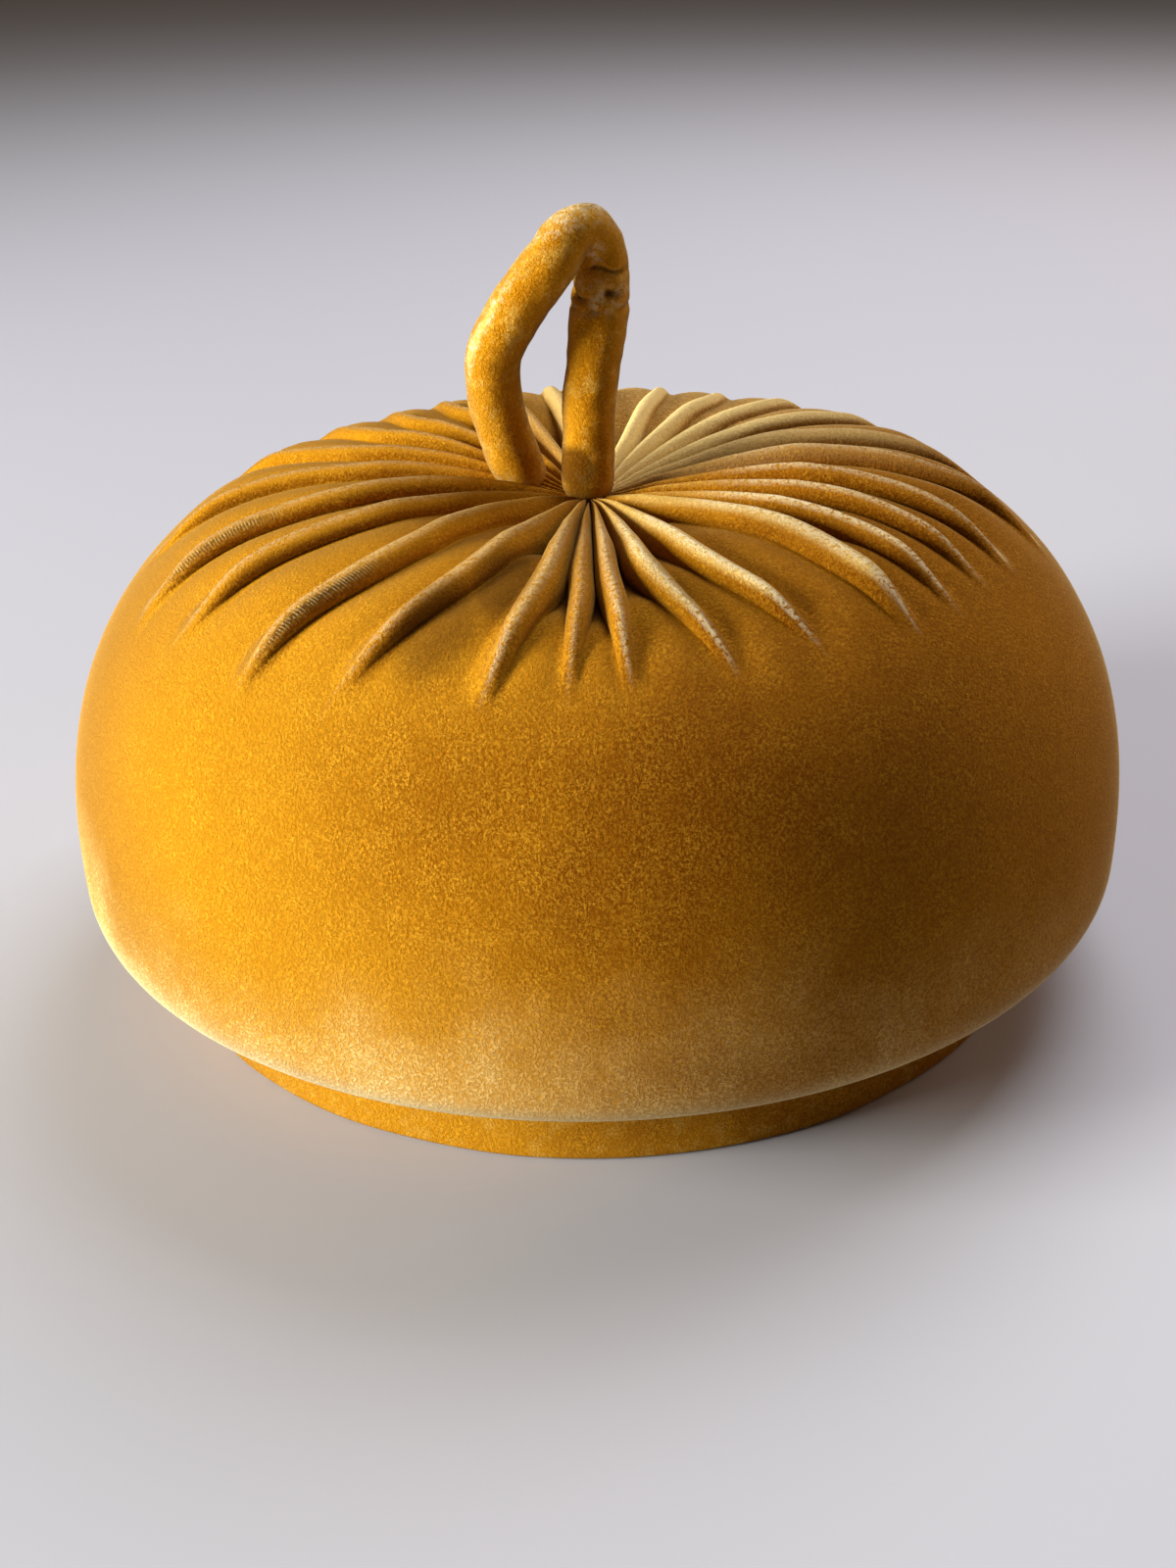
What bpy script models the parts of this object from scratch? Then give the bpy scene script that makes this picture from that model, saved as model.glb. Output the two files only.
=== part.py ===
"""Puffed velvet turban hat: a pleated crown shell, the plain rim band under it, and a stuffed stem loop on its gather.

The hat rests on its band on the plane z = 0, with the head's length along X. -Y is the side that the pleat table
starts from, and +Z is up. All sizes are metres.
"""

import math

import bmesh
import bpy
from mathutils import Vector

# Crown: outer sizes over the smooth form between the pleats
CROWN_LENGTH = 0.240
CROWN_DEPTH = 0.2232
CROWN_HEIGHT = 0.114
WIDEST_HEIGHT = 0.0313
GATHER_DIP = 0.0086
CREST_SHARE = 0.383
DOME_FULLNESS = 2.36
ROLL_FULLNESS = 2.27
CROWN_WALL = 0.0025

# Rim band: an upright oval ring, whose lower edge is the head opening
BAND_LENGTH = 0.2033
BAND_DEPTH = 0.1862
BAND_HEIGHT = 0.036
BAND_WALL = 0.003
BAND_EDGE_RADIUS = 0.0009
BAND_COLUMNS = 72

# The part of the band that shows under the crown's rolled edge, and how far the roll's flat underside reaches outwards
BAND_SHOWING = 0.0206
UNDERSIDE_REACH = 0.0063

# Pleats: the raised rolls of cloth that run out from the gather
PLEAT_HEIGHT = 0.0030
PLEAT_GROOVE = 0.0012
PLEAT_PUFF = 0.0006
PLEAT_WIDTH = 0.0056
PLEAT_START = 0.022
INSIDE_FOLD_SHARE = 0.6

# Stem loop: a stuffed tube
STEM_DIAMETER = 0.0116
STEM_RISE = 0.0582
STEM_REACH = 0.0198
STEM_STEP = 0.0028
STEM_BEVEL_RESOLUTION = 3

# Sewn joints keep this gap between touching pieces, and a wrapped grid's edges are merged within this distance
SEAM_GAP = 0.0003
MERGE_DISTANCE = 1e-6

# One row for each pleat, anticlockwise seen from above, starting at the front. Turns are degrees from -Y towards +X.
# Columns: turn at the gather, turn at the pleat's end, how far it reaches as a share of the crown's half size, and its
# height as a share of PLEAT_HEIGHT.
PLEATS = (
    (-4, -3, 0.77, 0.90),
    (5, 4, 0.77, 1.00),
    (14, 16, 0.76, 1.10),
    (27, 27, 0.73, 1.10),
    (44, 40, 0.77, 1.00),
    (58, 50, 0.76, 0.90),
    (72, 58, 0.76, 0.90),
    (86, 67, 0.78, 0.90),
    (100, 85, 0.84, 0.95),
    (113, 101, 0.80, 0.90),
    (125, 116, 0.80, 0.85),
    (136, 129, 0.78, 0.90),
    (147, 141, 0.76, 0.95),
    (157, 152, 0.77, 1.00),
    (168, 165, 0.75, 1.00),
    (184, 183, 0.78, 1.05),
    (197, 198, 0.76, 0.95),
    (209, 211, 0.78, 0.90),
    (221, 222, 0.77, 0.90),
    (234, 233, 0.79, 0.90),
    (247, 247, 0.80, 0.95),
    (260, 271, 0.82, 0.95),
    (275, 290, 0.85, 1.00),
    (290, 302, 0.82, 0.90),
    (309, 317, 0.85, 1.10),
    (328, 330, 0.80, 1.05),
    (346, 347, 0.80, 1.10),
)
COLUMNS_PER_PLEAT = 4

# Rows of the crown's outer side, from the gather to its sewn edge, by stretch of the profile. Its inside takes every
# second row, and the last two at the sewn edge.
GATHER_ROWS = 6
DOME_ROWS = 12
ROLL_ROWS = 6
INSIDE_ROW_STEP = 2

# The stem loop's centre line, foot on the gather first. Columns: X and Y as shares of STEM_REACH, height above the
# gather as a share of STEM_RISE, and thickness as a share of STEM_DIAMETER. The second foot's own height follows from
# the pleats that it lies on.
STEM_ROUTE = (
    (0.00, 0.00, 0.00, 0.94),
    (0.00, 0.00, 0.05, 0.94),
    (0.00, 0.05, 0.18, 0.96),
    (0.02, 0.10, 0.33, 1.00),
    (0.08, 0.17, 0.50, 1.02),
    (0.15, 0.24, 0.65, 1.06),
    (0.19, 0.28, 0.79, 1.04),
    (0.20, 0.27, 0.88, 0.96),
    (0.17, 0.20, 0.95, 0.87),
    (0.06, 0.06, 1.00, 0.83),
    (-0.10, -0.06, 0.995, 0.85),
    (-0.23, -0.12, 0.95, 0.92),
    (-0.38, -0.15, 0.88, 0.98),
    (-0.56, -0.15, 0.80, 1.00),
    (-0.74, -0.11, 0.72, 1.00),
    (-0.95, -0.04, 0.59, 1.00),
    (-0.99, 0.07, 0.43, 1.00),
    (-0.88, 0.18, 0.25, 1.00),
)
STEM_FOOT = (-0.76, 0.25, 0.96)

VELVET_COLOURS = {
    "crown": (0.58, 0.29, 0.04),
    "rim_band": (0.52, 0.25, 0.035),
    "stem_loop": (0.60, 0.31, 0.05),
}
VELVET_ROUGHNESS = 0.85

QUARTER_TURN = math.pi / 2
HALF_LENGTH = CROWN_LENGTH / 2
HALF_DEPTH = CROWN_DEPTH / 2
GATHER_HEIGHT = CROWN_HEIGHT - GATHER_DIP
KNOT_SHARE = (STEM_DIAMETER / 2 + SEAM_GAP) / HALF_LENGTH


def smooth_step(value):
    """Go from 0 to 1 with flat ends while the value goes from 0 to 1."""
    value = min(max(value, 0.0), 1.0)
    return value * value * (3 - 2 * value)


def dip_height(share):
    """Height of the smooth crown between its gather and its crest, at a share of the crown's half size."""
    climb = smooth_step((share - KNOT_SHARE) / (CREST_SHARE - KNOT_SHARE))
    return GATHER_HEIGHT + GATHER_DIP * climb


def crown_profile():
    """Rows down the crown's outer side: half length, half depth, height, and share of the half size."""
    rows = []
    for step in range(GATHER_ROWS):
        share = CREST_SHARE * step / GATHER_ROWS
        rows.append((share * HALF_LENGTH, share * HALF_DEPTH, dip_height(share), share))
    for step in range(DOME_ROWS):
        turn = QUARTER_TURN * (1 - step / DOME_ROWS)
        share = CREST_SHARE + (1 - CREST_SHARE) * math.cos(turn) ** (2 / DOME_FULLNESS)
        rise = math.sin(turn) ** (2 / DOME_FULLNESS)
        height = WIDEST_HEIGHT + (CROWN_HEIGHT - WIDEST_HEIGHT) * rise
        rows.append((share * HALF_LENGTH, share * HALF_DEPTH, height, share))
    inner_length = BAND_LENGTH / 2 + SEAM_GAP
    inner_depth = BAND_DEPTH / 2 + SEAM_GAP
    for step in range(ROLL_ROWS + 1):
        turn = QUARTER_TURN * step / ROLL_ROWS
        outwards = max(math.cos(turn), 0.0) ** (2 / ROLL_FULLNESS)
        drop = math.sin(turn) ** (2 / ROLL_FULLNESS)
        foot_length = inner_length + UNDERSIDE_REACH
        foot_depth = inner_depth + UNDERSIDE_REACH
        length = foot_length + (HALF_LENGTH - foot_length) * outwards
        depth = foot_depth + (HALF_DEPTH - foot_depth) * outwards
        height = WIDEST_HEIGHT - (WIDEST_HEIGHT - BAND_SHOWING) * drop
        rows.append((length, depth, height, 1.0))
    rows.append((inner_length, inner_depth, BAND_SHOWING, 1.0))
    return rows


def outward_normals(rows):
    """Unit directions out of the cloth at each row, as an outward part and an upward part."""
    normals = []
    for index in range(len(rows)):
        before = rows[max(index - 1, 0)]
        after = rows[min(index + 1, len(rows) - 1)]
        run = after[0] - before[0]
        rise = after[2] - before[2]
        size = math.hypot(run, rise)
        normals.append((-rise / size, run / size))
    normals[0] = (0.0, 1.0)
    return normals


def pleat_relief(pleat, share):
    """How strongly a pleat stands at a share of the crown's half size, from 0 to its own height."""
    reach, height = pleat[2], pleat[3]
    start = smooth_step((share - KNOT_SHARE) * HALF_LENGTH / PLEAT_START)
    end = smooth_step((reach - share) / (reach - CREST_SHARE))
    return height * start * end


def pleat_turn(pleat, share):
    """Where a pleat's crest lies round the crown, in radians, at a share of the crown's half size."""
    gather_turn, end_turn, reach = pleat[0], pleat[1], pleat[2]
    way = smooth_step((share - KNOT_SHARE) / (reach - KNOT_SHARE))
    return math.radians(gather_turn + (end_turn - gather_turn) * way)


def pleat_columns(share):
    """Turn and outward shift of every column of the crown at one row, four columns for each pleat."""
    columns = []
    for index, pleat in enumerate(PLEATS):
        following = PLEATS[(index + 1) % len(PLEATS)]
        lap = 2 * math.pi if index + 1 == len(PLEATS) else 0.0
        crest = pleat_turn(pleat, share)
        next_crest = pleat_turn(following, share) + lap
        spacing = next_crest - crest
        roll_turn = PLEAT_WIDTH / 2 / max(share * HALF_LENGTH, PLEAT_WIDTH)
        beyond = smooth_step((share - pleat[2]) / (1 - pleat[2]))
        flank = min(roll_turn, spacing / 4) * (1 - beyond) + spacing / 4 * beyond
        strength = pleat_relief(pleat, share)
        next_strength = pleat_relief(following, share)
        between = (strength + next_strength) / 2
        open_cloth = smooth_step((share - CREST_SHARE / 2) / CREST_SHARE)
        valley = PLEAT_PUFF * open_cloth - PLEAT_GROOVE * (1 - open_cloth)
        columns.append((crest, PLEAT_HEIGHT * strength))
        columns.append((crest + flank, -PLEAT_GROOVE * strength))
        columns.append((crest + spacing / 2, valley * between))
        columns.append((next_crest - flank, -PLEAT_GROOVE * next_strength))
    return columns


def oval_place(length, depth, turn, height):
    """A place on the oval of these half sizes, at a turn from -Y towards +X."""
    return Vector((length * math.sin(turn), -depth * math.cos(turn), height))


def crown_rings():
    """Rings of places: down the outside from the gather to the sewn edge, then back up the inside."""
    profile = crown_profile()
    normals = outward_normals(profile)
    outside = []
    inside = []
    for index, (row, normal) in enumerate(zip(profile, normals)):
        share = row[3]
        follow = INSIDE_FOLD_SHARE * smooth_step(share / CREST_SHARE)
        wall = CROWN_WALL + PLEAT_GROOVE * (1 - follow) * pleat_slack(share)
        columns = pleat_columns(share)
        outside.append([shifted_place(row, normal, turn, relief) for turn, relief in columns])
        if index % INSIDE_ROW_STEP == 0 or index >= len(profile) - 2:
            inside.append([shifted_place(row, normal, turn, relief * follow - wall) for turn, relief in columns])
    return outside + inside[::-1]


def shifted_place(row, normal, turn, shift):
    """A place on a profile row at one turn, moved out of the cloth by a shift, or into it by a negative one."""
    length, depth, height, _ = row
    outwards, upwards = normal
    return oval_place(length + shift * outwards, depth + shift * outwards, turn, height + shift * upwards)


def pleat_slack(share):
    """1 where pleats stand, fading to 0 on the smooth cloth beyond their ends."""
    longest = max(pleat[2] for pleat in PLEATS)
    return smooth_step((longest - share) / (longest - CREST_SHARE))


def ring_mesh(name, rings, closed):
    """Wrap a flat grid of cloth round the rings. A closed section joins its last ring to its first one."""
    around = len(rings[0])
    rows = rings + [rings[0]] if closed else rings
    cloth = bmesh.new()
    bmesh.ops.create_grid(cloth, x_segments=around, y_segments=len(rows) - 1, size=1.0)
    for vertex in cloth.verts:
        column = round((vertex.co.x + 1) / 2 * around) % around
        row = round((vertex.co.y + 1) / 2 * (len(rows) - 1))
        vertex.co = rows[row][column]
    bmesh.ops.remove_doubles(cloth, verts=cloth.verts, dist=MERGE_DISTANCE)
    bmesh.ops.recalc_face_normals(cloth, faces=cloth.faces)
    mesh = bpy.data.meshes.new(name)
    cloth.to_mesh(mesh)
    cloth.free()
    mesh.shade_smooth()
    return mesh


def velvet(name):
    """The piece's own velvet, matt and golden."""
    material = bpy.data.materials.new(name + "_velvet")
    material.use_nodes = True
    shader = material.node_tree.nodes["Principled BSDF"]
    shader.inputs["Base Color"].default_value = (*VELVET_COLOURS[name], 1.0)
    shader.inputs["Roughness"].default_value = VELVET_ROUGHNESS
    shader.inputs["Metallic"].default_value = 0.0
    return material


def add_piece(name, data, collection):
    """Put a named piece with its own velvet in the hat's collection."""
    data.materials.append(velvet(name))
    piece = bpy.data.objects.new(name, data)
    collection.objects.link(piece)
    return piece


def make_crown(collection):
    """One shell of cloth, gathered in pleats at the top and rolled under at the band."""
    mesh = ring_mesh("crown", crown_rings(), closed=False)
    return add_piece("crown", mesh, collection)


def band_section():
    """The band's closed section: offsets inwards from its outer face, and heights."""
    edge = BAND_EDGE_RADIUS
    top = BAND_HEIGHT
    wall = BAND_WALL
    return (
        (edge, 0.0),
        (0.0, edge),
        (0.0, top / 2),
        (0.0, top - edge),
        (edge, top),
        (wall - edge, top),
        (wall, top - edge),
        (wall, top / 2),
        (wall, edge),
        (wall - edge, 0.0),
    )


def make_rim_band(collection):
    """An upright oval ring of doubled cloth with softened edges."""
    rings = []
    for inwards, height in band_section():
        ring = []
        for column in range(BAND_COLUMNS):
            turn = 2 * math.pi * column / BAND_COLUMNS
            ring.append(oval_place(BAND_LENGTH / 2 - inwards, BAND_DEPTH / 2 - inwards, turn, height))
        rings.append(ring)
    mesh = ring_mesh("rim_band", rings, closed=True)
    return add_piece("rim_band", mesh, collection)


def route_point(row):
    """A row of the stem's route as a place and a thickness share."""
    across, back, rise, thickness = row
    place = Vector((across * STEM_REACH, back * STEM_REACH, GATHER_HEIGHT + SEAM_GAP + rise * STEM_RISE))
    return place, thickness


def lying_foot(above):
    """The end of the tube that lies on the pleats, below the route's last place: a place and a thickness share."""
    across, back, thickness = STEM_FOOT
    place = Vector((across * STEM_REACH, back * STEM_REACH, 0.0))
    radius = STEM_DIAMETER / 2 * thickness
    farthest = (math.hypot(place.x, place.y) + radius) / HALF_DEPTH
    tallest = PLEAT_HEIGHT * max(pleat_relief(pleat, farthest) for pleat in PLEATS)
    pleat_top = dip_height(farthest) + tallest
    sideways = math.hypot(above.x - place.x, above.y - place.y)
    lean = math.atan2(sideways, above.z - pleat_top)
    place.z = pleat_top + SEAM_GAP + radius * math.sin(lean)
    return place, thickness


def curve_between(before, start, end, after, way):
    """A smooth curve through a route's points, worked out between its second and third."""
    straight = 2 * start
    slope = (end - before) * way
    bend = (2 * before - 5 * start + 4 * end - after) * way ** 2
    twist = (3 * start - before - 3 * end + after) * way ** 3
    return (straight + slope + bend + twist) / 2


def stem_centre_line():
    """Places and thickness shares about every STEM_STEP along the loop."""
    stops = [route_point(row) for row in STEM_ROUTE]
    stops.append(lying_foot(stops[-1][0]))
    stops = [stops[0]] + stops + [stops[-1]]
    line = []
    for index in range(1, len(stops) - 2):
        before, start, end, after = stops[index - 1:index + 3]
        pieces = max(round((end[0] - start[0]).length / STEM_STEP), 1)
        for piece in range(pieces):
            way = piece / pieces
            place = curve_between(before[0], start[0], end[0], after[0], way)
            line.append((place, start[1] + (end[1] - start[1]) * way))
    line.append(stops[-2])
    return line


def make_stem_loop(collection):
    """A stuffed tube of cloth, one foot on the gather and the other on the pleats beside it."""
    line = stem_centre_line()
    curve = bpy.data.curves.new("stem_loop", "CURVE")
    curve.dimensions = "3D"
    curve.bevel_depth = STEM_DIAMETER / 2
    curve.bevel_resolution = STEM_BEVEL_RESOLUTION
    curve.use_fill_caps = True
    spline = curve.splines.new("POLY")
    spline.points.add(len(line) - 1)
    for point, (place, thickness) in zip(spline.points, line):
        point.co = (*place, 1.0)
        point.radius = thickness
    return add_piece("stem_loop", curve, collection)


def main():
    for old in list(bpy.data.objects):
        bpy.data.objects.remove(old, do_unlink=True)
    collection = bpy.data.collections.new("turban_hat")
    bpy.context.scene.collection.children.link(collection)
    make_crown(collection)
    make_rim_band(collection)
    make_stem_loop(collection)


main()
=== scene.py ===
import math

import bmesh
import bpy
from mathutils import Matrix, Vector, noise


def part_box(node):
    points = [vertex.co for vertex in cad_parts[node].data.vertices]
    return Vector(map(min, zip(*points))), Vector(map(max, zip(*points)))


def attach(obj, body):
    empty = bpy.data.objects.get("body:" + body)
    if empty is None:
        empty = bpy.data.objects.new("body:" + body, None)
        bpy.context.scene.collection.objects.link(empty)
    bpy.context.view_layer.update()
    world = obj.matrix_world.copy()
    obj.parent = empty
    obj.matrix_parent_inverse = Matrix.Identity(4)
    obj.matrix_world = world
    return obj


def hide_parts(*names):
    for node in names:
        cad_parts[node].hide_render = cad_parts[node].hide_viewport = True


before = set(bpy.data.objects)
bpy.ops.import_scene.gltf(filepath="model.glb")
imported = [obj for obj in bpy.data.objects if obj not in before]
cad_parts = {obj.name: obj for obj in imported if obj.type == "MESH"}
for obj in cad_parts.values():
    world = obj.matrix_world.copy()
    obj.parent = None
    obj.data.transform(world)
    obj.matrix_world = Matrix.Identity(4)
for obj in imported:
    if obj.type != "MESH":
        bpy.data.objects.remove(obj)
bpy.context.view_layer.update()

# Camera: held above the table in front of the hat, looking down at it and tipped a little, so that the hat's
# right side stands slightly higher. Its pitch and focal length are chosen, and the rest was fitted to them.
crown_low, crown_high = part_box("crown")
half_length = (crown_high.x - crown_low.x) / 2
half_depth = (crown_high.y - crown_low.y) / 2
camera_pitch = math.radians(28.99)
camera_roll = math.radians(1.741)
camera_distance = 3.3277 * half_length
camera_aim = Vector((-0.0178 * half_length, 0.0, 0.2937 * half_length))
focal_length_px = 1700
picture_height_px = 1600
film_mm = 36

camera_data = bpy.data.cameras.new("camera")
camera_data.sensor_width = film_mm
camera_data.lens = film_mm * focal_length_px / picture_height_px
camera_data.clip_start = 0.01
camera = bpy.data.objects.new("camera", camera_data)
bpy.context.scene.collection.objects.link(camera)
looking = Matrix.Rotation(math.pi / 2 - camera_pitch, 4, "X") @ Matrix.Rotation(-camera_roll, 4, "Z")
backwards = Vector((0.0, -math.cos(camera_pitch), math.sin(camera_pitch)))
camera.matrix_world = Matrix.Translation(camera_aim + backwards * camera_distance) @ looking
bpy.context.scene.camera = camera


# Crown: a hollow shell of golden velvet, drawn in at its centre so that it gathers into 27 soft rolled
# pleats, which run out over the top and vanish on the puffed side. Its lower edge is rolled under and sewn
# to the band. The pleats were traced more finely than the plain solid's, and differ from them in places.
band_low, band_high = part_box("rim_band")
crest_height = 0.114
widest_height = 0.0313
gather_dip = 0.0086
crest_share = 0.383
dome_fullness = 2.36
roll_fullness = 2.27
underside_reach = 0.0063
crown_wall = 0.0025
sewn_gap = 0.0003
knot_share = 0.0011 / half_length
lip_height = 0.0206

front_drop = 0.0035
pleat_height = 0.0034
pleat_half_width = 0.0028
valley_depth = 0.0032
narrow_gap = 0.0003
open_gap = 0.0062
panel_puff_share = 0.10
largest_puff = 0.0021
pleat_lean = 0.38
gather_station = 0.12
middle_station = 0.45
full_roll = math.radians(112)
slack_roll = math.radians(70)
pleat_wander = 0.5
wander_waves = 6
wander_lane = 3.7
pleat_unevenness = 0.12
uneven_waves = 7
uneven_lane = 5.1
pleat_end_fade = 0.20
pleat_taper = 0.40
pleat_taper_start = 0.65
front_narrowness = 1.5
drop_rise = 0.37
drop_fade_start = 0.5
drop_fade = 0.4
dent_depth = 0.0006
dent_waves = 18
fine_dent_depth = 0.0002
fine_dent_waves = 60
inside_follow = 0.6
merge_distance = 1e-6
# Where a painted sheen lies over the back of the crown
fan_sheen_turn = 148
fan_sheen_reach = 52

# One row for each pleat, from the front round to the right. Columns: turn in degrees by the gather, midway
# and at the pleat's end, how far it reaches as a share of the half size, its height and width as shares of
# the usual ones, and how far the pile is parted along its crest, or rubbed into ribs under its flank. The
# parting also strengthens the painted crest highlight, and the ribs lie on painted shade.
pleats = (
    (-2, -2, -3, 0.77, 0.90, 0.90, 0.20, 0.0),
    (4, 2.5, 4, 0.77, 1.00, 0.90, 0.45, 0.0),
    (9, 9.5, 16, 0.76, 1.05, 1.00, 0.80, 0.0),
    (18, 21, 28, 0.74, 1.10, 1.05, 1.00, 0.0),
    (46, 45, 41, 0.78, 1.05, 1.45, 0.85, 0.0),
    (61, 56, 50, 0.77, 0.90, 1.00, 0.90, 0.0),
    (75, 67, 58.5, 0.77, 0.90, 0.95, 0.70, 0.0),
    (89, 79.5, 67, 0.79, 0.90, 1.00, 0.60, 0.0),
    (102, 94, 84, 0.84, 0.95, 1.00, 0.40, 0.0),
    (116, 107.5, 101, 0.78, 0.85, 0.85, 0.20, 0.0),
    (128, 122, 122, 0.74, 0.75, 0.80, 0.20, 0.0),
    (139, 135, 137, 0.68, 0.75, 0.75, 0.20, 0.0),
    (150, 148, 151, 0.62, 0.80, 0.75, 0.20, 0.0),
    (161, 162, 163, 0.60, 0.85, 0.78, 0.20, 0.0),
    (173, 175, 176, 0.60, 0.85, 0.78, 0.20, 0.0),
    (185, 188, 188, 0.62, 0.85, 0.85, 0.20, 0.0),
    (197, 201, 200, 0.62, 0.80, 0.82, 0.20, 0.0),
    (209, 214, 211, 0.62, 0.75, 0.80, 0.20, 0.0),
    (221, 227, 221, 0.64, 0.72, 0.80, 0.20, 0.0),
    (232, 239, 233, 0.70, 0.75, 0.80, 0.20, 0.0),
    (244, 253, 250, 0.76, 0.80, 0.85, 0.20, 0.0),
    (258, 268, 274, 0.82, 0.85, 0.92, 0.25, 0.0),
    (272, 286, 290, 0.85, 1.00, 1.00, 0.25, 0.8),
    (292, 300, 302, 0.82, 0.90, 1.10, 0.25, 0.0),
    (315, 321, 317, 0.84, 1.10, 1.10, 0.25, 1.0),
    (343, 339, 330, 0.80, 1.05, 1.10, 0.30, 0.0),
    (353, 352.5, 347, 0.80, 1.05, 1.05, 0.35, 0.0),
)
# Patches of painted shade between the front pleats. Columns: turn in degrees, place as a share of the half
# size, half their width in degrees and half their length as a share, and how dark they look.
shade_patches = (
    (339, 0.66, 6.0, 0.12, 0.70),
    (345, 0.52, 6.0, 0.13, 0.75),
    (12, 0.55, 5.0, 0.12, 0.50),
    (30, 0.50, 6.0, 0.10, 0.35),
)
flank_columns = 6
panel_columns = 6
columns_per_pleat = 2 * flank_columns + panel_columns
outer_rows = 150
inner_rows = 22
fine_steps = 60


def smooth_step(value):
    value = min(max(value, 0.0), 1.0)
    return value * value * (3 - 2 * value)


def crown_section():
    """The crown's smooth outer section, gather to lip: half length, half depth, height and pleat share."""
    points = []
    for step in range(fine_steps):
        share = knot_share + (crest_share - knot_share) * step / fine_steps
        way = step / fine_steps
        climb = (way + smooth_step(way)) / 2
        height = crest_height - gather_dip * (1 - climb)
        points.append((share * half_length, share * half_depth, height, share))
    for step in range(fine_steps):
        turn = math.pi / 2 * (1 - step / fine_steps)
        share = crest_share + (1 - crest_share) * math.cos(turn) ** (2 / dome_fullness)
        height = widest_height + (crest_height - widest_height) * math.sin(turn) ** (2 / dome_fullness)
        points.append((share * half_length, share * half_depth, height, share))
    lip_length = band_high.x + sewn_gap
    lip_depth = band_high.y + sewn_gap
    for step in range(fine_steps + 1):
        turn = math.pi / 2 * step / fine_steps
        outwards = max(math.cos(turn), 0.0) ** (2 / roll_fullness)
        height = widest_height - (widest_height - lip_height) * math.sin(turn) ** (2 / roll_fullness)
        length = lip_length + underside_reach
        depth = lip_depth + underside_reach
        points.append((length + (half_length - length) * outwards, depth + (half_depth - depth) * outwards,
                       height, 1.0))
    points.append((lip_length, lip_depth, lip_height, 1.0))
    return points


def even_rows(points, count):
    """The same section at evenly spaced places along it, each with its way out of the cloth."""
    travelled = [0.0]
    for before, after in zip(points, points[1:]):
        travelled.append(travelled[-1] + math.hypot(after[0] - before[0], after[2] - before[2]))
    rows = []
    stretch = 0
    for row in range(count):
        distance = travelled[-1] * row / (count - 1)
        while stretch < len(points) - 2 and travelled[stretch + 1] < distance:
            stretch += 1
        before, after = points[stretch], points[stretch + 1]
        way = (distance - travelled[stretch]) / (travelled[stretch + 1] - travelled[stretch])
        place = [a + (b - a) * way for a, b in zip(before, after)]
        rows.append(place + [distance])
    for index, place in enumerate(rows):
        before = rows[max(index - 1, 0)]
        after = rows[min(index + 1, count - 1)]
        run, rise = after[0] - before[0], after[2] - before[2]
        size = math.hypot(run, rise)
        place.extend((-rise / size, run / size))
    return rows


def pleat_roll(across, strength):
    """Place on a pleat's rolled section, crest to foot: sideways and upwards, as shares of its own sizes."""
    roll = slack_roll + (full_roll - slack_roll) * smooth_step(strength)
    turn = roll * across
    sideways = math.sin(turn) / math.sin(min(roll, math.pi / 2))
    upwards = (math.cos(turn) - math.cos(roll)) / (1 - math.cos(roll))
    return sideways, upwards


def pleat_turn(gather_turn, middle_turn, end_turn, reach, share):
    """Where a pleat's crest runs at a share of the half size, in degrees."""
    inner = min(max((share - gather_station) / (middle_station - gather_station), 0.0), 1.0)
    outer = min(max((share - middle_station) / (reach - middle_station), 0.0), 1.0)
    turn = gather_turn + (middle_turn - gather_turn) * (inner + smooth_step(inner)) / 2
    return turn + (end_turn - middle_turn) * (outer + smooth_step(outer)) / 2


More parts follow.
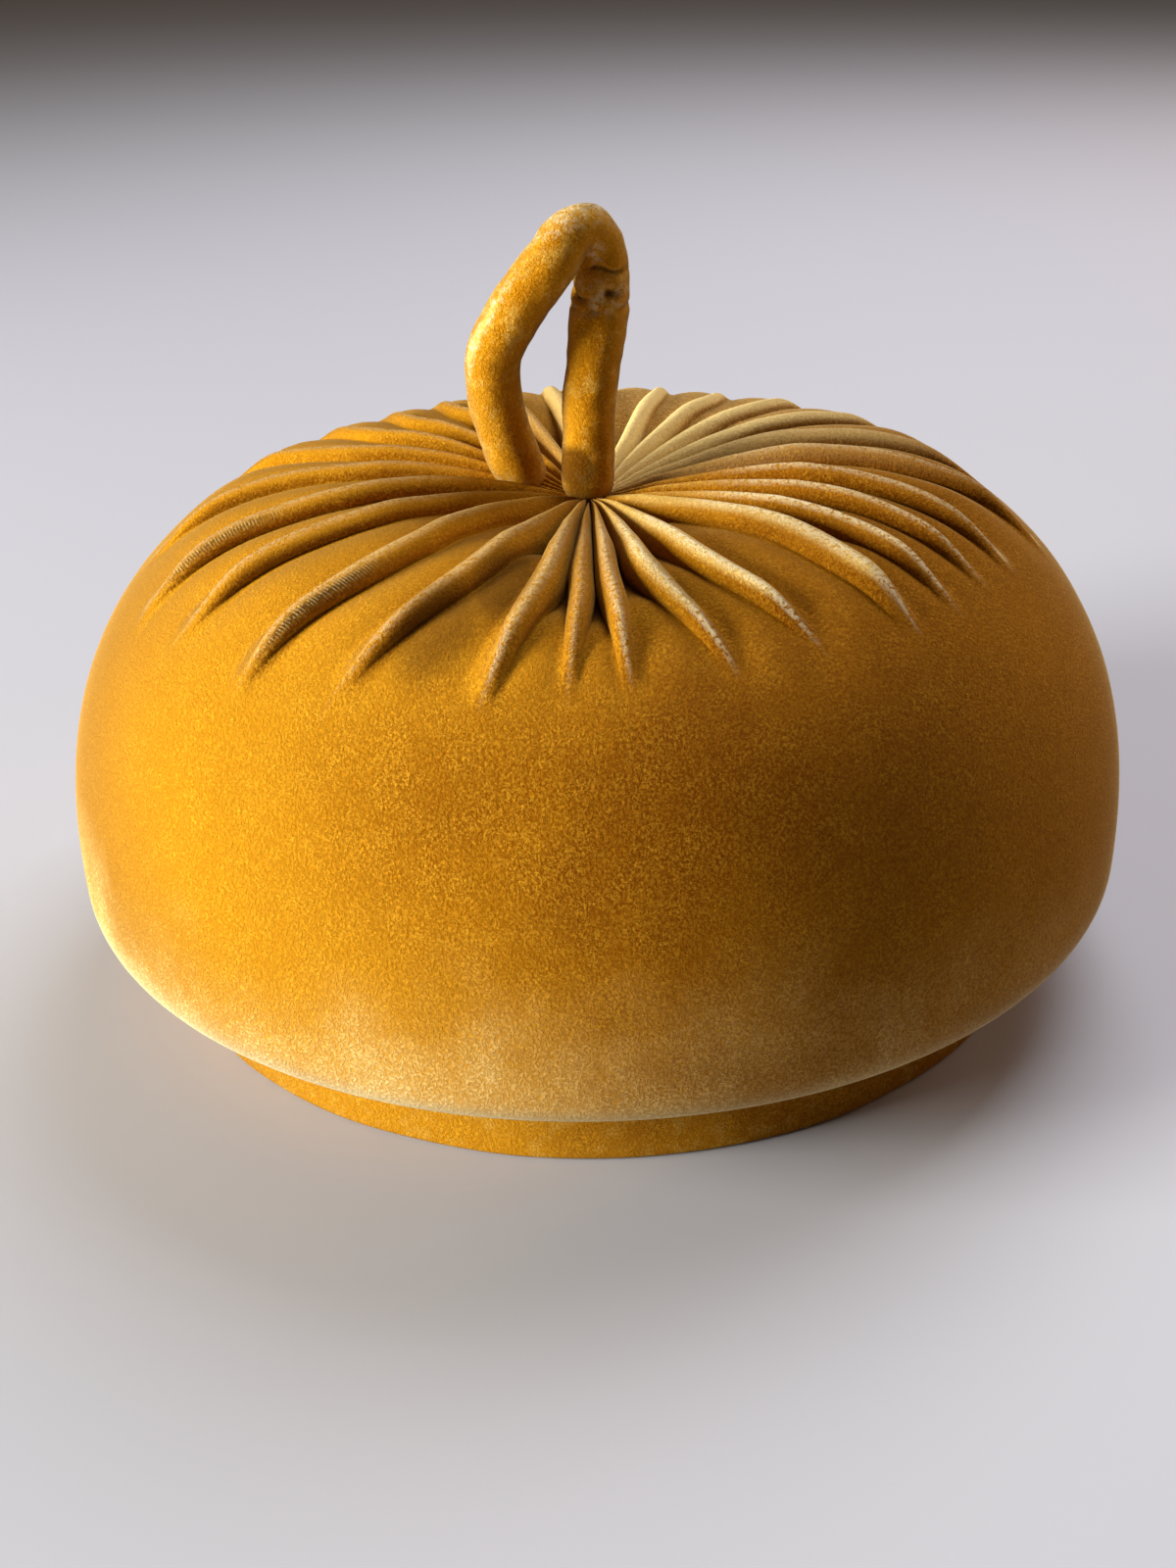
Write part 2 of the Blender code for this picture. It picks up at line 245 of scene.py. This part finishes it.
def crown_columns(share):
    """Turn, outward shift, painted crest highlight, parting and ribs of each column of cloth, at a share of
    the half size.
    """
    radius = share * (half_length + half_depth) / 2
    crests = []
    for index, pleat in enumerate(pleats):
        gather_turn, middle_turn, end_turn, reach, height, width, parted, ribbed = pleat
        wander = pleat_wander * noise.noise(Vector((share * wander_waves, index * wander_lane, 0.0)))
        crest_turn = math.radians(pleat_turn(gather_turn, middle_turn, end_turn, reach, share) + wander)
        end = smooth_step((reach - share) / (pleat_end_fade * reach))
        start = 0.55 + 0.45 * smooth_step(share / 0.15)
        uneven_spot = Vector((share * uneven_waves, index * uneven_lane, 9.0))
        uneven = 1 + pleat_unevenness * noise.noise(uneven_spot)
        taper = 1 - pleat_taper * smooth_step((share - pleat_taper_start * reach) / (0.35 * reach))
        crests.append((crest_turn, start * end * height * uneven, width * taper, reach, parted, ribbed))
    flanks = []
    for index, (crest_turn, _, width, reach, _, _) in enumerate(crests):
        before = (crest_turn - crests[index - 1][0]) % (2 * math.pi)
        after = (crests[(index + 1) % len(crests)][0] - crest_turn) % (2 * math.pi)
        beyond = smooth_step((share - 0.94 * reach) / (1 - 0.94 * reach))
        lean = pleat_lean * math.sin(crest_turn)
        sizes = []
        for spacing, tilt in ((before, 1 + lean), (after, 1 - lean)):
            narrow = min(pleat_half_width * width * tilt / radius, spacing * 0.48)
            sizes.append(narrow + (spacing * flank_columns / columns_per_pleat - narrow) * beyond)
        flanks.append(sizes)
    spread = smooth_step((share - 0.25) / 0.25) * (1 - smooth_step((share - 0.62) / 0.2))
    columns = []
    for index, (crest_turn, strength, _, reach, parted, ribbed) in enumerate(crests):
        next_crest, next_strength, _, _, next_parted, _ = crests[(index + 1) % len(crests)]
        spacing = (next_crest - crest_turn) % (2 * math.pi)
        flank = flanks[index][1]
        next_flank = flanks[(index + 1) % len(crests)][0]
        gap = (spacing - flank - next_flank) * radius
        floor = -valley_depth * (1 - smooth_step((gap - narrow_gap) / (open_gap - narrow_gap)))
        floor *= 1 - smooth_step((share - 0.55) / 0.2)
        puff = min(panel_puff_share * gap, largest_puff) * spread
        worn = smooth_step((share - 0.20) / 0.15) * smooth_step((reach - share) / 0.08)
        rubbing_and_low_sheen = ribbed * smooth_step((share - 0.52) / 0.1) * smooth_step((reach - 0.04 - share) / 0.08)
        for step in range(flank_columns):
            sideways, upwards = pleat_roll(step / flank_columns, strength)
            rise = floor + (pleat_height * strength - floor) * upwards
            line = worn * parted * max(1 - 3 * step / flank_columns, 0.0)
            ribs = rubbing_and_low_sheen * max(1 - abs(step - 2) / 1.6, 0.0)
            # A painted highlight along the crest
            pale = upwards * strength * (0.62 + 0.38 * parted)
            columns.append((crest_turn + flank * sideways, rise, pale, line, ribs))
        foot = pleat_roll(1.0, strength)[0]
        next_foot = pleat_roll(1.0, next_strength)[0]
        for step in range(panel_columns + 1):
            across = step / panel_columns
            turn = crest_turn + flank * foot + (spacing - flank * foot - next_flank * next_foot) * across
            columns.append((turn, floor + puff * math.sin(math.pi * across), 0.0, 0.0, 0.0))
        for step in range(1, flank_columns):
            across = 1 - step / flank_columns
            sideways, upwards = pleat_roll(across, next_strength)
            rise = floor + (pleat_height * next_strength - floor) * upwards
            line = worn * next_parted * max(1 - 3 * across, 0.0)
            pale = upwards * next_strength * (0.62 + 0.38 * next_parted)
            columns.append((crest_turn + spacing - next_flank * sideways, rise, pale, line, 0.0))
    return columns


def oval_place(length, depth, turn, height):
    return Vector((length * math.sin(turn), -depth * math.cos(turn), height))


def wrapped_cloth(name, rings, marks, closed=False):
    """A flat grid of cloth wrapped round rings of places, with a float attribute for each kind of mark."""
    around = len(rings[0])
    rows = rings + rings[:1] if closed else rings
    cloth = bmesh.new()
    layers = {kind: cloth.verts.layers.float.new(kind) for kind in marks}
    bmesh.ops.create_grid(cloth, x_segments=around, y_segments=len(rows) - 1, size=1.0)
    for vertex in cloth.verts:
        column = round((vertex.co.x + 1) / 2 * around) % around
        row = round((vertex.co.y + 1) / 2 * (len(rows) - 1)) % len(rings)
        vertex.co = rings[row][column]
        for kind, layer in layers.items():
            vertex[layer] = marks[kind][row][column]
    bmesh.ops.remove_doubles(cloth, verts=cloth.verts, dist=merge_distance)
    bmesh.ops.recalc_face_normals(cloth, faces=cloth.faces)
    mesh = bpy.data.meshes.new(name)
    cloth.to_mesh(mesh)
    cloth.free()
    mesh.shade_smooth()
    piece = bpy.data.objects.new(name, mesh)
    bpy.context.scene.collection.objects.link(piece)
    return piece


def front_height(height, share, turn):
    """The crown's height at a place, a little lower over its front."""
    front = ((1 + math.cos(turn)) / 2) ** front_narrowness
    inner = smooth_step((share - knot_share) / drop_rise)
    outer = 1 - smooth_step((share - drop_fade_start) / drop_fade)
    return height - front_drop * front * inner * outer


def fan_sheen_share(turn, share):
    """How strong the painted sheen is over the back of the crown to the right, where the pile lies towards
    the stem.
    """
    sideways = (math.degrees(turn) - fan_sheen_turn + 180) % 360 - 180
    return smooth_step(1.3 - abs(sideways) / fan_sheen_reach) * smooth_step((0.82 - share) / 0.28)


def patch_shade(turn, share):
    """How dark the painted shade is, in patches between the front pleats."""
    darkest = 0.0
    for patch_turn, patch_share, half_turn, half_share, strength in shade_patches:
        sideways = ((math.degrees(turn) - patch_turn + 180) % 360 - 180) / half_turn
        outwards = (share - patch_share) / half_share
        darkest = max(darkest, strength * smooth_step(1.5 - math.hypot(sideways, outwards)))
    return darkest


def crown_rings():
    section = crown_section()
    rings = []
    marks = {"crest": [], "parting": [], "ribs": [], "valley": [], "brushed": [], "along": []}
    for length, depth, height, share, travelled, outwards, upwards in even_rows(section, outer_rows):
        fade = smooth_step((1.02 - share) / 0.2)
        columns = crown_columns(share)
        ring = []
        for turn, shift, _, _, _ in columns:
            level = front_height(height, share, turn)
            place = oval_place(length, depth, turn, level)
            dent = dent_depth * noise.noise(place * dent_waves)
            dent += fine_dent_depth * noise.noise(place * fine_dent_waves)
            shift += dent * fade
            out = shift * outwards
            ring.append(oval_place(length + out, depth + out, turn, level + shift * upwards))
        rings.append(ring)
        # The crest mark is a painted highlight along the pleats' crests
        marks["crest"].append([column[2] for column in columns])
        marks["parting"].append([column[3] for column in columns])
        marks["ribs"].append([column[4] for column in columns])
        # Painted shade, deepest in the narrow valleys between pleats and in patches between the front pleats
        marks["valley"].append([max(-column[1], 0.0) / valley_depth + patch_shade(column[0], share)
                                for column in columns])
        # The fan mark is a painted sheen over the back of the crown
        marks["brushed"].append([fan_sheen_share(column[0], share) for column in columns])
        marks["along"].append([travelled] * len(columns))
    for length, depth, height, share, _, outwards, upwards in reversed(even_rows(section, inner_rows)):
        columns = crown_columns(share)
        fold = inside_follow * smooth_step(share / crest_share)
        ring = []
        for turn, shift, _, _, _ in columns:
            inset = shift * fold - crown_wall - valley_depth * (1 - fold) * smooth_step((0.85 - share) / 0.4)
            inset_out = max(inset * outwards, -0.5 * length)
            ring.append(oval_place(length + inset_out, depth + inset_out, turn,
                                   front_height(height, share, turn) + inset * upwards))
        rings.append(ring)
        for rows in marks.values():
            rows.append([0.0] * len(columns))
    return rings, marks


class Wire:
    """A shader socket that takes part in plain arithmetic."""

    def __init__(self, finish, socket):
        self.finish = finish
        self.socket = socket

    def maths(self, operation, first, second):
        return self.finish.node("ShaderNodeMath", {"operation": operation}, {0: first, 1: second})

    def __add__(self, other):
        return self.maths("ADD", self, other)

    def __radd__(self, other):
        return self.maths("ADD", other, self)

    def __sub__(self, other):
        return self.maths("SUBTRACT", self, other)

    def __rsub__(self, other):
        return self.maths("SUBTRACT", other, self)

    def __mul__(self, other):
        return self.maths("MULTIPLY", self, other)

    def __rmul__(self, other):
        return self.maths("MULTIPLY", other, self)

    def __pow__(self, other):
        return self.maths("POWER", self, other)


class Finish:
    """A material whose nodes are added one at a time."""

    def __init__(self, name):
        self.material = bpy.data.materials.new(name)
        self.material.use_nodes = True
        self.tree = self.material.node_tree
        self.shader = self.tree.nodes["Principled BSDF"]

    def node(self, kind, settings, inputs, output=0):
        """Any node: its type, its settings, which are set first, and the values or links of its sockets."""
        made = self.tree.nodes.new(kind)
        for name, value in settings.items():
            if name == "stops":
                ramp = made.color_ramp
                while len(ramp.elements) < len(value):
                    ramp.elements.new(0.5)
                for element, (position, colour) in zip(ramp.elements, value):
                    element.position = position
                    element.color = (*colour, 1.0)
            else:
                setattr(made, name, value)
        for name, value in inputs.items():
            self.feed(made.inputs[name], value)
        return Wire(self, made.outputs[output])

    def feed(self, socket, value):
        if isinstance(value, Wire):
            self.tree.links.new(value.socket, socket)
        elif socket.type == "RGBA":
            socket.default_value = (*value, 1.0)
        else:
            socket.default_value = value

    def blend(self, amount, first, second):
        """A colour between two others."""
        settings = {"data_type": "RGBA", "clamp_factor": True}
        return self.node("ShaderNodeMix", settings, {0: amount, 6: first, 7: second}, output=2)

    def grain(self, place, scale, detail=2.0, roughness=0.5, stretch=(1.0, 1.0, 1.0)):
        """Noise about its middle value, as a number from 0 to 1."""
        if stretch != (1.0, 1.0, 1.0):
            place = self.node("ShaderNodeMapping", {}, {"Vector": place, "Scale": stretch})
        return self.node("ShaderNodeTexNoise", {}, {"Vector": place, "Scale": scale, "Detail": detail,
                                                    "Roughness": roughness})

    def ramp(self, value, low, high, new_low=0.0, new_high=1.0):
        """A number carried smoothly from one range to another and held at its ends."""
        settings = {"interpolation_type": "SMOOTHSTEP"}
        return self.node("ShaderNodeMapRange", settings, {"Value": value, "From Min": low, "From Max": high,
                                                          "To Min": new_low, "To Max": new_high})

    def sine(self, value):
        return self.node("ShaderNodeMath", {"operation": "SINE"}, {0: value})

    def mark(self, kind):
        return self.node("ShaderNodeAttribute", {"attribute_name": kind}, {}, output=2)


rib_turns = 2 * math.pi / 0.0007
# Velvet colours: the cloth's own gold, flecks and worn spots; a deep gold for darker tones and painted shade;
# painted shade in the shadow, dull edge and rib colours; painted sheen and highlights in the bright, pale,
# low, fan, hem and crest colours, which also serve the parted lines, the rib stripes and the stem's seam.
velvet_shadow = (0.075, 0.021, 0.0003)
velvet_deep = (0.22, 0.062, 0.0004)
velvet_gold = (0.52, 0.200, 0.0012)
velvet_slant_sheen = (0.84, 0.41, 0.012)
velvet_edge_shade = (0.33, 0.155, 0.018)
velvet_pale = (0.88, 0.71, 0.32)
velvet_low_sheen = (0.88, 0.65, 0.26)
velvet_worn = (0.84, 0.56, 0.12)
velvet_fan_sheen = (0.96, 0.73, 0.29)
velvet_parting_and_hem_sheen = (0.92, 0.80, 0.50)
velvet_fleck = (0.80, 0.40, 0.022)
velvet_crest_highlight_and_seam = (0.90, 0.62, 0.17)
velvet_rib_shade = (0.13, 0.060, 0.012)
velvet_sheen = (1.0, 0.75, 0.26)
specular_level = 0.04
sheen_weight = 0.08
sheen_roughness = 0.30
pile_bump = 0.75
pile_length = 0.0004


def velvet(name, lower_pale=0.0, worn=0.0, side_shade=1.0, edge_power=11.0):
    """Short dense pile: gold, with painted shade from left to right, painted sheen at its edge and low down,
    pale where worn.

    lower_pale says how strong the painted sheen on the low parts is, and worn how pale the worn spots are.
    side_shade is 1 where painted shade darkens the pile from left to right and 0 where it doesn't. A higher
    edge_power keeps the painted sheen at the edge narrower.
    """
    finish = Finish(name)
    place = finish.node("ShaderNodeTexCoord", {}, {}, output=3)
    sideways = finish.node("ShaderNodeSeparateXYZ", {}, {0: place}, output=0)
    lean = finish.ramp(finish.grain(place, 34.0, 3.0, 0.55), 0.35, 0.65)
    patch = finish.ramp(finish.grain(place, 150.0, 3.0, 0.6), 0.3, 0.7)
    pile = finish.ramp(finish.grain(place, 1500.0, 3.0, 0.85), 0.38, 0.62)
    facing = finish.node("ShaderNodeLayerWeight", {}, {"Blend": 0.5}, output=1)
    tips = finish.ramp(finish.grain(place, 1700.0, 3.0, 0.9), 0.46, 0.60)
    # Gold: painted sheen by the way it faces (darker straight on, brighter slanted, duller right at the
    # edge), tone that varies with the way it lies, and painted shade darkening it from left to right
    straight = finish.ramp(facing, 0.42, 0.02)
    side_shade_share = finish.ramp(sideways + 0.02 * lean, -0.035, 0.055) * side_shade
    depth = 0.22 * straight + 0.46 * side_shade_share + 0.12 * lean + 0.10 * patch + 0.36 * pile
    gold = finish.blend(depth * (0.45 + 0.55 * side_shade), velvet_gold, velvet_deep)
    flecked = finish.blend(tips * (0.32 + 0.44 * patch) * (1 - 0.45 * side_shade_share), gold, velvet_fleck)
    # Painted sheen brighter where the cloth slants from the view, painted shade duller right at its edge
    slanted = finish.blend(0.28 * finish.ramp(facing, 0.02, 0.24) * (1 - 0.80 * side_shade_share), flecked, velvet_slant_sheen)
    dulled = finish.blend(0.85 * finish.ramp(facing, 0.32, 0.82) * (1 - 0.85 * side_shade_share), slanted, velvet_edge_shade)
    # Painted sheen at the edge, low on the side (less towards the right) and along the hem, and pale worn
    # blotches
    edge_sheen = facing ** edge_power * (0.34 - 0.2 * pile + 0.46 * side_shade_share)
    edged = finish.blend(edge_sheen, dulled, velvet_pale)
    height = finish.node("ShaderNodeSeparateXYZ", {}, {0: place}, output=2)
    low = finish.ramp(height + 0.014 * lean, 0.066, 0.020) * lower_pale
    streaks = finish.ramp(finish.grain(place, 70.0, 2.0, 0.6, (1.0, 1.0, 0.25)), 0.40, 0.62)
    rubbing_and_low_sheen = low * (0.40 + 0.24 * patch + 0.36 * streaks) * finish.ramp(sideways, 0.085, -0.025, 0.30, 1.0)
    rolled = finish.blend(rubbing_and_low_sheen * (1.22 - 1.00 * pile), edged, velvet_low_sheen)
    hem = finish.ramp(height, 0.036, 0.024) * lower_pale * facing ** 2.2 * (1 - 0.5 * side_shade_share)
    hemmed = finish.blend(hem * (1.05 - 0.30 * pile), rolled, velvet_parting_and_hem_sheen)
    blotch = finish.ramp(finish.grain(place, 240.0, 3.0, 0.7), 0.50, 0.64)
    blotched = finish.blend(blotch * (0.9 - 0.5 * pile) * worn, hemmed, velvet_worn)
    # Marks painted on the mesh: a painted highlight on the crests (the seam and worn top on the stem), a
    # painted sheen over the back fan, parted lines, crushed ribs on painted shade, and painted shade in the
    # valleys
    # A painted highlight along the crown's crests; on the stem the same colour marks its seam and worn top
    crest = finish.ramp(finish.mark("crest"), 0.68, 1.03)
    crested = finish.blend(crest * (0.85 - 0.40 * pile), blotched, velvet_crest_highlight_and_seam)
    # A painted sheen over the back fan, strongest on its crests
    fanned = finish.mark("brushed")
    fan = fanned * (0.36 + 0.80 * finish.ramp(finish.mark("crest"), 0.05, 0.45) - 0.25 * pile)
    brushed = finish.blend(fan, crested, velvet_fan_sheen)
    dotted = finish.ramp(finish.grain(place, 1100.0, 2.0, 0.7), 0.38, 0.52)
    parted = finish.blend(finish.mark("parting") * dotted, brushed, velvet_parting_and_hem_sheen)
    # Crushed ribs: pale stripes of parted pile on a dark ground of painted shade under the flank
    stripes = finish.ramp(finish.sine(finish.mark("along") * rib_turns + 3 * patch), 0.35, 0.85) * dotted
    ribbed = finish.blend(0.7 * stripes, velvet_rib_shade, velvet_pale)
    crushed = finish.blend(finish.mark("ribs"), parted, ribbed)
    # Painted shade in the valleys, patches and creases, lighter under the painted sheen of the back fan
    hidden = finish.ramp(finish.mark("valley"), 0.2, 1.0) * (0.92 - 0.45 * fanned)
    sunk = finish.blend(hidden, crushed, velvet_shadow)
    finish.feed(finish.shader.inputs["Base Color"], sunk)
    finish.feed(finish.shader.inputs["Roughness"], 0.75 + 0.2 * pile)
    finish.shader.inputs["Specular IOR Level"].default_value = specular_level
    finish.shader.inputs["Sheen Weight"].default_value = sheen_weight
    finish.shader.inputs["Sheen Roughness"].default_value = sheen_roughness
    finish.shader.inputs["Sheen Tint"].default_value = (*velvet_sheen, 1.0)
    bump = {"Strength": pile_bump, "Distance": pile_length, "Height": 1 - pile}
    finish.feed(finish.shader.inputs["Normal"], finish.node("ShaderNodeBump", {}, bump))
    return finish.material


rings, marks = crown_rings()
crown = wrapped_cloth("crown_velvet", rings, marks, closed=True)
# The crown has painted sheen low on its sides and along its hem
crown.data.materials.append(velvet("crown_velvet", lower_pale=1.0))
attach(crown, "root")
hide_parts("crown")
# The cut is as wide as the crown's widest round and as long as its section. Its area is that of the modelled
# outer surface, which is this share of width by length.
cut_width = math.pi * (half_length + half_depth)
cut_length = even_rows(crown_section(), outer_rows)[-1][4]
cut_taper = 0.76
cut_taper * cut_width * cut_length


# Rim band: a strip of the same velvet, folded double and sewn into an oval ring that stands up straight.
# What keeps it stiff doesn't show. It carries the crown's rolled edge, and the hat stands on its lower edge.
band_wall = 0.003
band_height = band_high.z - band_low.z
band_edge = 0.0012
band_columns = 360
band_face_rows = 26
corner_steps = 5
band_sway = 0.0005
band_sway_waves = 40


def rounded_corner(inwards, height, first, last):
    """Places round one corner of the band's section, from one turn to another."""
    places = []
    for step in range(1, corner_steps + 1):
        turn = first + (last - first) * step / corner_steps
        places.append((inwards + band_edge * math.cos(turn), height + band_edge * math.sin(turn)))
    return places


def band_section():
    """The band's closed section: how far in from its outer face, and the height."""
    face_height = band_height - 2 * band_edge
    top = band_height - band_edge
    inner = band_wall - band_edge
    points = []
    for step in range(band_face_rows):
        points.append((0.0, band_edge + face_height * step / (band_face_rows - 1)))
    points += rounded_corner(band_edge, top, math.pi, math.pi / 2)
    points += rounded_corner(inner, top, math.pi / 2, 0.0)
    for step in range(1, band_face_rows):
        points.append((band_wall, top - face_height * step / (band_face_rows - 1)))
    points += rounded_corner(inner, band_edge, 0.0, -math.pi / 2)
    points += rounded_corner(band_edge, band_edge, -math.pi / 2, -math.pi)
    return points[:-1]


band_rings = []
for inwards, height in band_section():
    ring = []
    for column in range(band_columns):
        turn = 2 * math.pi * column / band_columns
        place = oval_place(band_high.x - inwards, band_high.y - inwards, turn, height)
        sway = band_sway * noise.noise(place * band_sway_waves)
        ring.append(oval_place(band_high.x - inwards + sway, band_high.y - inwards + sway, turn, height))
    band_rings.append(ring)
band_marks = {kind: [[0.0] * band_columns for _ in band_rings] for kind in marks}
band = wrapped_cloth("band_velvet", band_rings, band_marks, closed=True)
# The band gets the same painted shade from left to right and painted sheen at its edge
band.data.materials.append(velvet("band_velvet", worn=0.25))
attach(band, "root")
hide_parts("rim_band")


# Stem loop: a stuffed tube of velvet, bent over into a standing loop. One foot stands on the gather and the
# other lies on the pleats beside it, and the bend at the top is pinched and creased.
stem_radius = 0.0058
stem_reach = 0.0198
stem_rise = 0.0582
gather_height = crest_height - gather_dip
stem_route = (
    (0.00, 0.00, 0.085, 0.96),
    (0.00, 0.02, 0.12, 0.96),
    (0.00, 0.05, 0.18, 0.96),
    (0.02, 0.10, 0.33, 1.00),
    (0.08, 0.17, 0.50, 1.02),
    (0.15, 0.24, 0.65, 1.06),
    (0.19, 0.28, 0.79, 1.04),
    (0.20, 0.27, 0.88, 0.96),
    (0.17, 0.20, 0.95, 0.87),
    (0.06, 0.06, 1.00, 0.83),
    (-0.10, -0.06, 0.995, 0.85),
    (-0.23, -0.12, 0.95, 0.92),
    (-0.38, -0.15, 0.88, 0.98),
    (-0.56, -0.15, 0.80, 1.00),
    (-0.74, -0.11, 0.72, 1.00),
    (-0.95, -0.04, 0.59, 1.00),
    (-0.99, 0.07, 0.43, 1.00),
    (-0.88, 0.18, 0.25, 1.00),
    (-0.76, 0.25, 0.10, 0.96),
)
stem_columns = 72
stem_step = 0.0006
# Rows of the route: across and back as shares of the reach, height as a share of the rise, and thickness
# Creases across the front of the standing leg, by height and depth
stem_creases = ((0.1472, 0.0010), (0.1508, 0.0016), (0.1552, 0.0013))
crease_width = 0.0007
worn_top_height = 0.1600
crumple_height = 0.1500
crumple_reach = 0.0045
pocket_centre = Vector((0.0015, -0.004, 0.1575))
pocket_size = 0.0040
# A patch of painted shade at the front of the standing leg's foot
shade_patch_centre = Vector((-0.0030, -0.006, 0.1148))
shade_patch_half_width = 0.0068
shade_patch_half_height = 0.0072
frayed_height = 0.1130
stem_crumple = 0.00045
fine_stem_crumple = 0.00020


def smooth_route(rows):
    """Places and thicknesses every stem_step along a smooth curve through the route's rows."""
    stops = []
    for across, back, rise, thickness in rows:
        height = gather_height + rise * stem_rise
        stops.append(Vector((across * stem_reach, back * stem_reach, height, thickness)))
    stops = [stops[0]] + stops + [stops[-1]]
    line = []
    for before, start, end, after in zip(stops, stops[1:], stops[2:], stops[3:]):
        pieces = max(round((end - start).xyz.length / stem_step), 1)
        for piece in range(pieces):
            way = piece / pieces
            slope = (end - before) * way
            bend = (2 * before - 5 * start + 4 * end - after) * way ** 2
            twist = (3 * start - before - 3 * end + after) * way ** 3
            line.append((2 * start + slope + bend + twist) / 2)
    line.append(stops[-1])
    return line


line = smooth_route(stem_route)
stem_rings = []
stem_marks = {kind: [] for kind in marks}
side = Vector((0.0, -1.0, 0.0))
seam_side = Vector((-0.78, -0.58, 0.22)).normalized()
top_index = max(range(len(line)), key=lambda index: line[index].z)
for index, stop in enumerate(line):
    along = (line[min(index + 1, len(line) - 1)] - line[max(index - 1, 0)]).xyz.normalized()
    side = (side - along * side.dot(along)).normalized()
    other = along.cross(side)
    ring = []
    found = {kind: [] for kind in marks}
    standing = index < top_index
    for column in range(stem_columns):
        turn = 2 * math.pi * column / stem_columns
        outwards = side * math.cos(turn) + other * math.sin(turn)
        place = stop.xyz + outwards * stem_radius
        crumple = stem_crumple * noise.noise(place * 110) + fine_stem_crumple * noise.noise(place * 330)
        crease = 0.0
        if standing:
            towards_front = smooth_step((0.35 - outwards.y) / 0.8)
            level = place.z + 0.0030 * noise.noise(place * 150)
            for crease_height, crease_depth in stem_creases:
                spot = Vector((place.x * 260, crease_height * 900, 0.0))
                broken = smooth_step(0.55 + 1.6 * noise.noise(spot))
                depth = crease_depth * math.exp(-((level - crease_height) / crease_width) ** 2)
                crease += depth * towards_front * broken
        ring.append(stop.xyz + outwards * (stem_radius * stop.w + crumple - crease))
        seam = 0.0 if standing else smooth_step((outwards.dot(seam_side) - 0.93) / 0.06)
        worn_top = smooth_step((place.z - worn_top_height) / 0.006) * smooth_step(outwards.z / 0.8)
        pocket = 0.0
        patch = 0.0
        if standing and outwards.y < 0:
            pocket = smooth_step(1.4 - (place - pocket_centre).length / pocket_size)
            across = (place.x - shade_patch_centre.x) / shade_patch_half_width
            along_patch = (place.z - shade_patch_centre.z) / shade_patch_half_height
            patch = smooth_step(1.7 * (1 - math.hypot(across, along_patch)))
        foot_tip = 0.0 if standing else smooth_step((frayed_height - place.z) / 0.004)
        flecks = smooth_step(noise.noise(place * 700) * 1.6 + 0.45)
        found["crest"].append(max(seam, 0.8 * worn_top, 0.6 * foot_tip))
        crumpled = smooth_step(1.2 - abs(place.z - crumple_height) / crumple_reach) if standing else 0.0
        crumpled *= smooth_step(-outwards.y)
        tufts = max(0.7 * seam, 0.6 * worn_top, 0.9 * pocket, 0.6 * foot_tip, 0.5 * crumpled)
        found["parting"].append(tufts * flecks)
        # Painted shade in the creases and in the patch at the standing leg's foot
        found["valley"].append(min(1.0, 0.85 * patch + 600 * max(crease, 0.0)))
        for kind in ("ribs", "brushed", "along"):
            found[kind].append(0.0)
    stem_rings.append(ring)
    for kind, values in found.items():
        stem_marks[kind].append(values)
closing_rows = 8
end_bulge = 0.0046
ends = []
for ring, centre, along in ((stem_rings[0], line[0].xyz, line[0].xyz - line[1].xyz),
                            (stem_rings[-1], line[-1].xyz, line[-1].xyz - line[-2].xyz)):
    caps = []
    for step in range(closing_rows):
        turn = math.pi / 2 * step / closing_rows
        tip = centre + along.normalized() * end_bulge * math.cos(turn)
        caps.append([tip + (place - centre) * math.sin(turn) for place in ring])
    ends.append(caps)
stem_rings = ends[0] + stem_rings + ends[1][::-1]
for rows in stem_marks.values():
    rows[:0] = [rows[0]] * closing_rows
    rows.extend([rows[-1]] * closing_rows)
stem = wrapped_cloth("stem_velvet", stem_rings, stem_marks)
# The stem has no painted shade from left to right, and a broad painted sheen at its edge
stem.data.materials.append(velvet("stem_velvet", worn=0.50, side_shade=0.0, edge_power=2.5))
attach(stem, "root")
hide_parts("stem_loop")


# Table and light: a plain pale floor, a strong, slightly warm window low on the left, a weak orange one
# behind on the right, a neutral one above the back, and faint warm light from all round.
floor_half_size = 6.0
floor_colour = (0.46, 0.485, 0.555)
floor_roughness = 0.55
bpy.ops.mesh.primitive_plane_add(size=2 * floor_half_size)
table = bpy.context.object
table.name = "table"
table_finish = Finish("table")
table_finish.shader.inputs["Base Color"].default_value = (*floor_colour, 1.0)
table_finish.shader.inputs["Roughness"].default_value = floor_roughness
table.data.materials.append(table_finish.material)


def window(name, place, aim_at, width, height, power, colour):
    """A soft rectangular light that faces a point."""
    data = bpy.data.lights.new(name, "AREA")
    data.shape = "RECTANGLE"
    data.size = width
    data.size_y = height
    data.energy = power
    data.color = colour
    lamp = bpy.data.objects.new(name, data)
    bpy.context.scene.collection.objects.link(lamp)
    lamp.location = place
    lamp.rotation_euler = (Vector(place) - Vector(aim_at)).to_track_quat("Z", "Y").to_euler()


window("left_window", place=(-1.6, -0.42, 0.42), aim_at=(0.0, 0.0, 0.06), width=0.7, height=0.7,
       power=80.0, colour=(1.0, 0.96, 0.86))
window("right_window", place=(1.6, 0.9, 0.7), aim_at=(0.0, 0.0, 0.06), width=0.9, height=0.7,
       power=10.0, colour=(1.0, 0.62, 0.42))
window("back_window", place=(0.50, 0.85, 1.45), aim_at=(0.0, 0.0, 0.05), width=1.2, height=1.0,
       power=25.0, colour=(0.98, 0.96, 0.98))
room_colour = (1.0, 0.74, 0.54)
room_light = 0.10
world = bpy.data.worlds.new("room")
world.use_nodes = True
world.node_tree.nodes["Background"].inputs["Color"].default_value = (*room_colour, 1.0)
world.node_tree.nodes["Background"].inputs["Strength"].default_value = room_light
bpy.context.scene.world = world
bpy.context.scene.view_settings.view_transform = "Standard"
